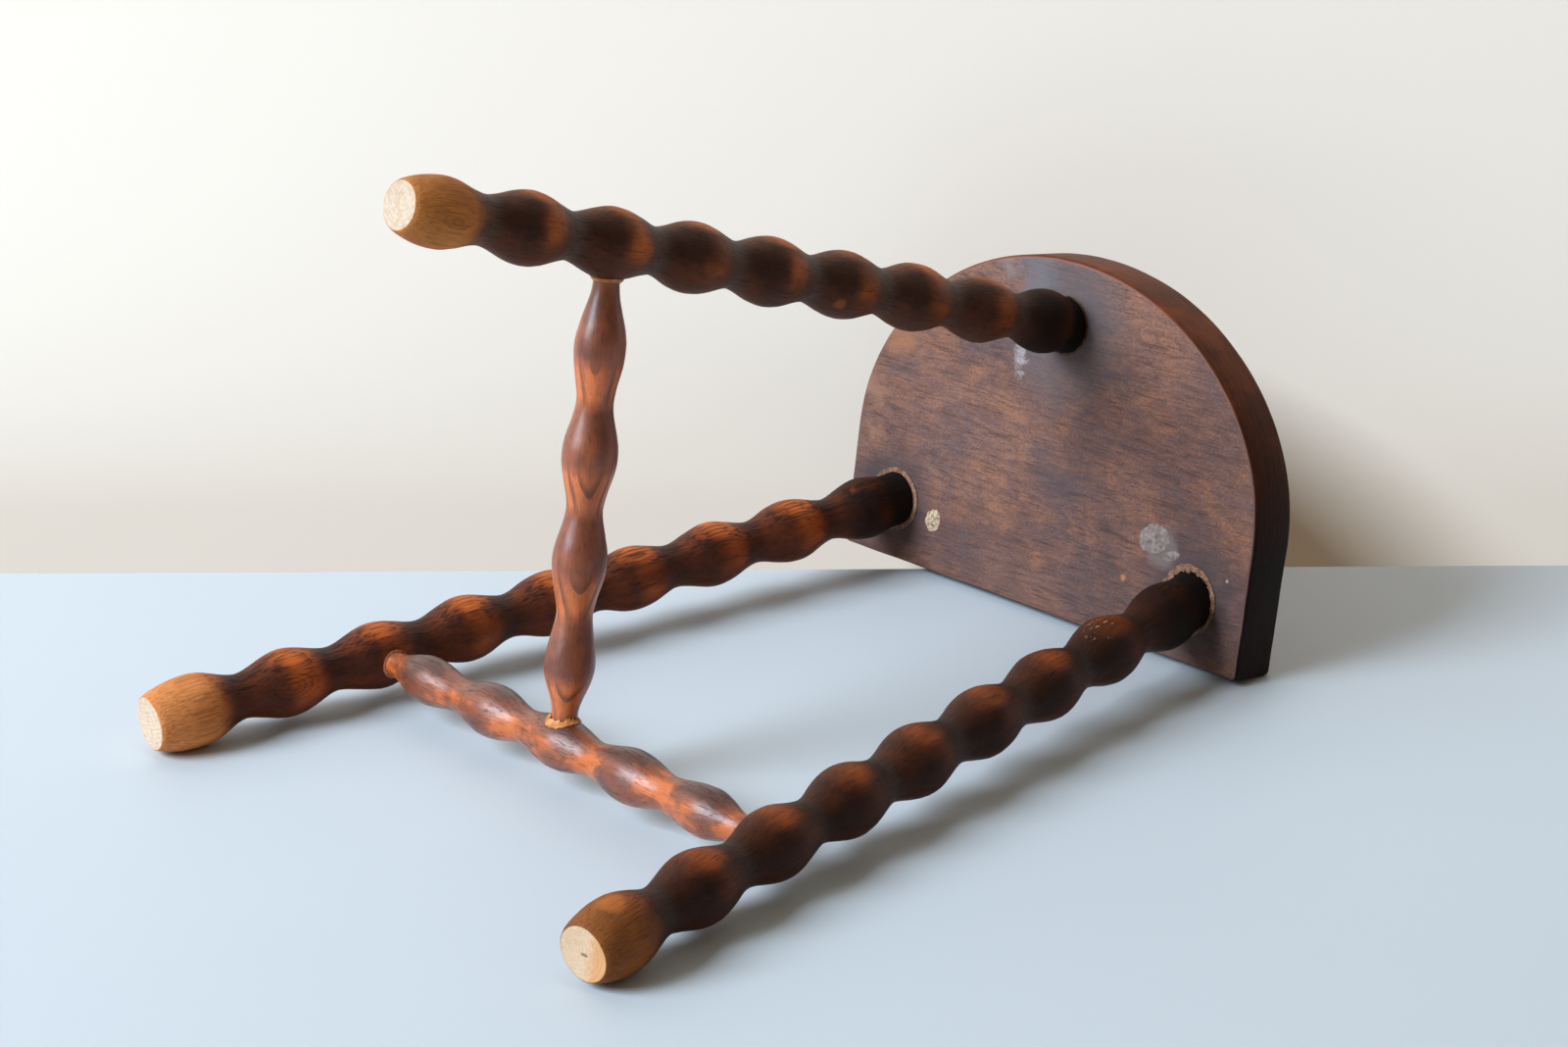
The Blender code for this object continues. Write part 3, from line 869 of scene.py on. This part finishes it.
def seat_top():
    """Polished brown with a straight grain."""
    finish = Finish("seat_top_stain", Specular_IOR_Level=0.4)
    board = finish.place()
    fine = finish.noise(finish.stretch(board, 0.05, 1.0, 1.0), 900.0, 4.0, 0.65)
    grain = finish.noise(finish.stretch(board, 0.10, 1.0, 1.0), 120.0, 4.0, 0.6)
    cloud = finish.noise(board, 20.0, 3.0, 0.55)
    body = finish.mix(finish.between(grain, 0.35, 0.7), tone(120, 66, 44), tone(84, 44, 32))
    body = finish.mix(finish.between(cloud, 0.4, 0.75) * 0.5, body, tone(140, 80, 50))
    body = finish.mix(finish.between(fine, 0.48, 0.7) * 0.5, body, tone(44, 22, 17))
    finish.wear("Base Color", body)
    finish.wear("Roughness", 0.34 + cloud * 0.16)
    finish.relief(fine * 0.6 + grain * 0.4, 0.0003)
    return finish.material


def dried_glue(name, pale, dark, mottle=260.0, rough=0.30):
    """Old glue squeezed out of a joint, clear amber in the thick of it and dusty where it is thin."""
    finish = Finish(name, Specular_IOR_Level=0.5)
    board = finish.place()
    cloud = finish.noise(board, mottle, 4.0, 0.65)
    crumb = finish.noise(board, mottle * 4, 3.0, 0.7)
    body = finish.mix(finish.between(cloud, 0.32, 0.68), dark, pale)
    body = finish.mix(finish.between(crumb, 0.55, 0.75) * 0.35, body, tone(70, 38, 22))
    finish.wear("Base Color", body)
    finish.wear("Roughness", rough + crumb * 0.3)
    finish.relief(crumb * 0.5 + cloud * 0.5, 0.0005)
    return finish.material


# Stain: deep, warm and bright are its tones from thick to worn, and also from painted shade to painted light;
# line is the grain's.
# foot, foot_stain and foot_line are the tones of the bare wood at the foot, reach is how far up it goes
# and foot_lines how strong its grain is.
# crown is the angle that front and side are measured from, low how far round the shoulders' wear and painted
# light go.
# heart, ring and waver place and space the growth rings, veins says how dark they are.
# lines, shoulders, patches, ovals and dust say how strong each kind of mark is. Shoulders and patches are
# partly wear and partly painted light, ovals are a painted dark reflection and dust is a painted sheen.
# eyes: height, angle, size, strength. spots: height, angle, size, softness, strength, colour.
# specks: height, angle, size, how sparse they are.
Look = namedtuple(
    "Look",
    "deep warm bright line foot foot_stain foot_line reach foot_lines crown low heart ring lines "
    "shoulders patches ovals dust seed waver veins crack eyes spots specks",
    defaults=(0.004, 0.05, False, (), (), ()),
)
LOOKS = {
    "front_leg": Look(
        deep=tone(62, 33, 21), warm=tone(124, 64, 30), bright=tone(196, 102, 40), line=tone(30, 16, 10),
        foot=tone(212, 134, 68), foot_stain=tone(170, 98, 46), foot_line=tone(108, 62, 32),
        reach=0.034, foot_lines=0.20, crown=60, low=0.55, heart=(0.004, 0.002), ring=0.0019,
        lines=0.18, shoulders=0.52, patches=0.44, ovals=0.24, dust=0.50, seed=0.37,
        eyes=((0.0196, 95, 0.0060, 0.18),),
        spots=(
            (0.256, 124, 0.0045, 0.5, 0.8, tone(150, 84, 40)),
            (0.418, 23, 0.0040, 0.3, 0.95, tone(186, 104, 46)),
        ),
    ),
    "back_left_leg": Look(
        deep=tone(58, 29, 19), warm=tone(148, 69, 31), bright=tone(208, 104, 42), line=tone(28, 13, 8),
        foot=tone(232, 146, 80), foot_stain=tone(196, 116, 60), foot_line=tone(118, 66, 34),
        reach=0.031, foot_lines=0.32, crown=66, low=0.50, heart=(0.058, -0.0145), ring=0.0020,
        lines=0.60, shoulders=0.42, patches=0.42, ovals=0.12, dust=0.10, seed=0.81,
        eyes=((0.068, 76, 0.0095, 0.35),),
        spots=(
            (0.374, 0, 0.0040, 0.6, 0.8, tone(160, 84, 34)),
            (0.406, 18, 0.0030, 0.4, 0.9, tone(176, 88, 40)),
        ),
    ),
    "back_right_leg": Look(
        deep=tone(40, 19, 12), warm=tone(98, 46, 20), bright=tone(170, 80, 26), line=tone(18, 8, 5),
        foot=tone(150, 86, 38), foot_stain=tone(118, 64, 30), foot_line=tone(80, 44, 22),
        reach=0.026, foot_lines=0.26, crown=70, low=0.05, heart=(0.002, -0.004), ring=0.0019,
        lines=0.16, shoulders=0.20, patches=0.34, ovals=0.20, dust=0.15, seed=1.33, crack=True,
        spots=((0.017, 4, 0.0080, 0.5, 0.7, tone(184, 102, 44)),),
        specks=((0.357, 4, 0.011, 0.66), (0.418, 6, 0.010, 0.64)),
    ),
}

# Marks on the underside: place, size, how far the edge wanders, softness, strength, colour
SOCKETS = {name: LINES[name].at(LINES[name].length).to_2d() for name in LEGS}
UNDERSIDE_MARKS = [
    (SOCKETS["front_leg"], 0.052, 0.012, 0.65, 0.70, tone(94, 89, 93)),
    (SOCKETS["back_left_leg"], 0.034, 0.012, 0.65, 0.75, tone(66, 56, 60)),
    (SOCKETS["back_right_leg"], 0.044, 0.012, 0.65, 0.70, tone(66, 58, 62)),
    ((-0.022, -0.088), 0.018, 0.014, 0.7, 0.5, tone(116, 114, 120)),
    ((-0.043, -0.089), 0.011, 0.012, 0.8, 0.4, tone(142, 132, 134)),
    ((-0.126, -0.003), 0.012, 0.016, 0.9, 0.5, tone(160, 116, 92)),
    ((-0.124, 0.018), 0.010, 0.014, 0.9, 0.5, tone(164, 116, 90)),
    ((-0.128, 0.050), 0.030, 0.020, 0.8, 0.6, tone(64, 54, 58)),
    ((0.010, 0.010), 0.030, 0.024, 0.9, 0.3, tone(74, 66, 72)),
    ((-0.113, -0.036), 0.016, 0.006, 0.7, 0.6, tone(160, 106, 74)),
    ((0.0599, 0.0499), 0.0022, 0.0012, 0.6, 0.8, tone(196, 126, 78)),
    ((0.1248, 0.0343), 0.0012, 0.0006, 0.6, 0.7, tone(186, 168, 160)),
    ((0.0820, 0.0290), 0.0130, 0.005, 0.5, 0.5, tone(138, 124, 120)),
]


# ---------------------------------------------------------------- camera, light and studio

def look_from_the_feet():
    """The camera looks up at the underside, with the stool lying on its back edge."""
    data = bpy.data.cameras.new("camera")
    data.sensor_width = 36.0
    data.lens = 76.64
    data.clip_start = 0.05
    data.clip_end = 20.0
    camera = bpy.data.objects.new("camera", data)
    camera.location = (1.0970, -0.3606, -0.8360)
    camera.rotation_euler = [math.radians(angle) for angle in (172.696, -46.612, -9.164)]
    bpy.context.scene.collection.objects.link(camera)
    bpy.context.scene.camera = camera
    return camera


camera = look_from_the_feet()
bpy.context.view_layer.update()
TABLE_UP = Vector((0.0, -0.98768, -0.15648))
RIGHT = camera.matrix_world.to_3x3() @ Vector((1, 0, 0))
RIGHT = (RIGHT - TABLE_UP * RIGHT.dot(TABLE_UP)).normalized()
NEAR = RIGHT.cross(TABLE_UP)
TABLE_EDGE = Vector((-0.1347, 0.0935, 0.3818))


def backdrop(name, corner, width, height, up, colour):
    """A plain sheet whose front shows and whose back doesn't, from a corner point."""
    deselect()
    bpy.ops.mesh.primitive_plane_add(size=1.0)
    sheet = bpy.context.object
    sheet.name = name
    facing = width.normalized().cross(up.normalized())
    turn = Matrix((width, up * height, facing)).transposed().to_4x4()
    sheet.matrix_world = Matrix.Translation(corner + width / 2 + up * height / 2) @ turn
    bpy.ops.object.transform_apply(location=True, rotation=True, scale=True)
    finish = Finish(name + "_paint", Roughness=0.55)
    finish.shader.inputs["Specular IOR Level"].default_value = 0.3
    finish.wear("Base Color", colour(finish))
    clear = finish.node("BsdfTransparent", {}, {})
    back = finish.node("NewGeometry", {}, {}, "Backfacing")
    out = finish.tree.nodes["Material Output"]
    both = finish.node("MixShader", {}, {0: back, 1: Amount(finish, finish.shader.outputs[0]), 2: clear})
    finish.tree.links.new(both.socket, out.inputs["Surface"])
    paint(sheet, finish.material)
    sheet.visible_shadow = False
    return sheet


def table_paint(finish):
    cloud = finish.noise(finish.place(), 6.0, 3.0, 0.5)
    return finish.mix(cloud * 0.3, tone(202, 208, 213), tone(208, 213, 217))


def wall_paint(finish):
    cloud = finish.noise(finish.place(), 5.0, 3.0, 0.5)
    return finish.mix(cloud * 0.3, tone(248, 238, 226), tone(251, 242, 231))


def floor_paint(finish):
    return finish.mix(0.5, tone(205, 218, 228), tone(210, 222, 232))


def area_light(name, way, distance, size, power, colour):
    data = bpy.data.lights.new(name, "AREA")
    data.shape = "RECTANGLE"
    data.size, data.size_y = size
    data.energy = power
    data.color = colour
    lamp = bpy.data.objects.new(name, data)
    middle = Vector((0.0, 0.0, 0.25))
    lamp.location = middle + way.normalized() * distance
    lamp.rotation_euler = way.to_track_quat("Z", "Y").to_euler()
    lamp.visible_camera = False
    bpy.context.scene.collection.objects.link(lamp)
    return lamp


def light_up(lamp, sheet, state):
    """Keeps a lamp off one sheet, or keeps it to that sheet alone."""
    group = bpy.data.collections.new(lamp.name + "_reach")
    group.objects.link(sheet)
    lamp.light_linking.receiver_collection = group
    group.collection_objects[0].light_linking.link_state = state


def from_the(left, near, up):
    return RIGHT * -left + NEAR * near + TABLE_UP * up


backdrop("table", TABLE_EDGE - RIGHT * 1.6 + NEAR * 1.6, RIGHT * 3.2, 1.6, -NEAR, table_paint)
wall_corner = TABLE_EDGE - RIGHT * 1.8 - NEAR * 0.10 - TABLE_UP * 0.4
wall = backdrop("wall", wall_corner, RIGHT * 3.6, 1.8, TABLE_UP, wall_paint)
floor = backdrop("floor", Vector((-2.5, -2.5, 0.0)), Vector((5, 0, 0)), 5.0, Vector((0, 1, 0)), floor_paint)
floor.visible_diffuse = floor.visible_glossy = floor.visible_transmission = False

window = area_light("window", from_the(1.4, 0.6, 1.0), 5.5, (2.8, 2.8), 492.0, (0.72, 0.86, 1.0))
wash = area_light("wall_wash", from_the(0.72, 0.9, 1.0), 5.5, (1.5, 1.5), 395.0, (0.80, 0.90, 1.0))
light_up(window, wall, "EXCLUDE")
light_up(wash, wall, "INCLUDE")

world = bpy.data.worlds.new("room_light")
world.use_nodes = True
world.node_tree.nodes["Background"].inputs["Color"].default_value = (1.0, 0.82, 0.58, 1.0)
world.node_tree.nodes["Background"].inputs["Strength"].default_value = 0.20
bpy.context.scene.world = world
bpy.context.scene.view_settings.view_transform = "Standard"


# ---------------------------------------------------------------- the stool

def settle(piece, node):
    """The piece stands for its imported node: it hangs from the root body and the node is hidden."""
    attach(piece, "root")
    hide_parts(node)


turnings = {}
for name in LEGS:
    piece = make_leg(name)
    turnings[name] = piece
    piece.name = name + "_turning"
    paint(piece, leg_finish(name, LOOKS[name]), end_grain(name, LINES[name], LOOKS[name]))
    up = LINES[name].axis
    start = LINES[name].start
    assign(piece, 1, lambda middle, normal: normal.dot(up) < -0.9 and (middle - start).dot(up) < 0.001)
    smooth(piece)
    settle(piece, name)

back = make_stretcher("back_stretcher", LEG_BEAD, LEG_BEAD, BACK_ENDS, BACK_BEADS)
centre_line, back_line = LINES["centre_stretcher"], LINES["back_stretcher"]
far_end = Line(centre_line.at(centre_line.length), -centre_line.axis, 0.1, (1, 0, 0))
bore(back, far_end, STRETCHER_TENON + SOCKET_GAP, STRETCHER_BEAD - STRETCHER_TENON_DEPTH - 0.001, 0.03)
back.name = "back_stretcher_turning"
paint(back, back_stretcher_finish())
smooth(back)
settle(back, "back_stretcher")

centre = make_stretcher("centre_stretcher", LEG_BEAD, STRETCHER_BEAD, CENTRE_ENDS, CENTRE_BEADS)
centre.name = "centre_stretcher_turning"
paint(centre, centre_stretcher_finish())
smooth(centre)
settle(centre, "centre_stretcher")

seat = make_seat()
paint(seat, seat_edge(), seat_underside(), seat_top())
assign(seat, 1, lambda middle, normal: normal.z < -0.9)
assign(seat, 2, lambda middle, normal: normal.z > 0.9)
smooth(seat)
settle(seat, "seat")

AMBER = dried_glue("amber_glue", tone(214, 138, 64), tone(158, 86, 38))
STRAW = dried_glue("straw_glue", tone(224, 152, 78), tone(184, 104, 46))
PINK = dried_glue("thin_glue", tone(214, 142, 104), tone(168, 92, 62), rough=0.45)
TAN = dried_glue("socket_filler", tone(164, 118, 90), tone(96, 60, 44), 420.0, 0.6)
DARK = dried_glue("dark_glue", tone(112, 72, 38), tone(62, 36, 22), rough=0.4)
CREAM = dried_glue("cream_filler", tone(226, 200, 166), tone(128, 98, 76), 480.0, 0.7)
GREY = dried_glue("grey_filler", tone(162, 146, 138), tone(116, 96, 90), 420.0, 0.7)


def glue(piece, finish):
    paint(piece, finish)
    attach(piece, "root")


# Where the glue at a stretcher and the filler at a socket stop, just inside the tenon's surface
GLUE_MOUTH = 0.0058
FILLER_MOUTH = 0.0134

right_end = Line(back_line.at(back_line.length), -back_line.axis, 0.1, (0, -1, 0))
collar = glue_ring(
    "glue_under_front_leg", centre_line, LEG_BEAD, GLUE_MOUTH, 0.0076, turnings["front_leg"],
    0.0030, 0.0005, 3,
)
glue(collar, AMBER)
collar = glue_ring(
    "glue_on_back_stretcher", far_end, STRETCHER_BEAD, GLUE_MOUTH, 0.0080, back,
    0.0026, 0.0008, 5, (0.0004, -0.0010),
)
glue(collar, STRAW)
collar = glue_ring(
    "glue_at_back_left_leg", back_line, LEG_BEAD, GLUE_MOUTH, 0.0070, turnings["back_left_leg"],
    0.0010, 0.0003, 7,
)
glue(collar, PINK)
collar = glue_ring(
    "glue_at_back_right_leg", right_end, LEG_BEAD, GLUE_MOUTH, 0.0070, turnings["back_right_leg"],
    0.0008, 0.0006, 9,
)
glue(collar, PINK)
for number, (name, outer, climb, ragged, shift, finish) in enumerate((
    ("front_leg", 0.0151, 0.0005, 0.0005, (0, 0), DARK),
    ("back_left_leg", 0.0170, 0.0003, 0.0002, (0, 0), TAN),
    ("back_right_leg", 0.0176, 0.0010, 0.0014, (0.0004, 0.0010), TAN),
)):
    line = LINES[name]
    socket = Line(line.at(line.length), (0, 0, -1), 0.1, (0, -1, 0))
    collar = glue_ring(
        "socket_ring_" + name, socket, 0.0, FILLER_MOUTH, outer, seat, climb, ragged, 11 + number, shift,
        0.0010,
    )
    glue(collar, finish)
for name, middle, length, width, turn, height, seed, finish in (
    ("cream_scab", (-0.0739, 0.0548), 0.0125, 0.0100, 70, 0.0010, 21, CREAM),
    ("grey_scab", (0.0764, 0.0256), 0.0200, 0.0150, 20, 0.0006, 23, GREY),
    ("grey_scab_tail", (0.0885, 0.0312), 0.0110, 0.0050, 25, 0.0004, 25, GREY),
):
    chip = residue(name, middle, length, width, turn, height, seed)
    glue(chip, finish)

deselect()
bpy.context.view_layer.update()
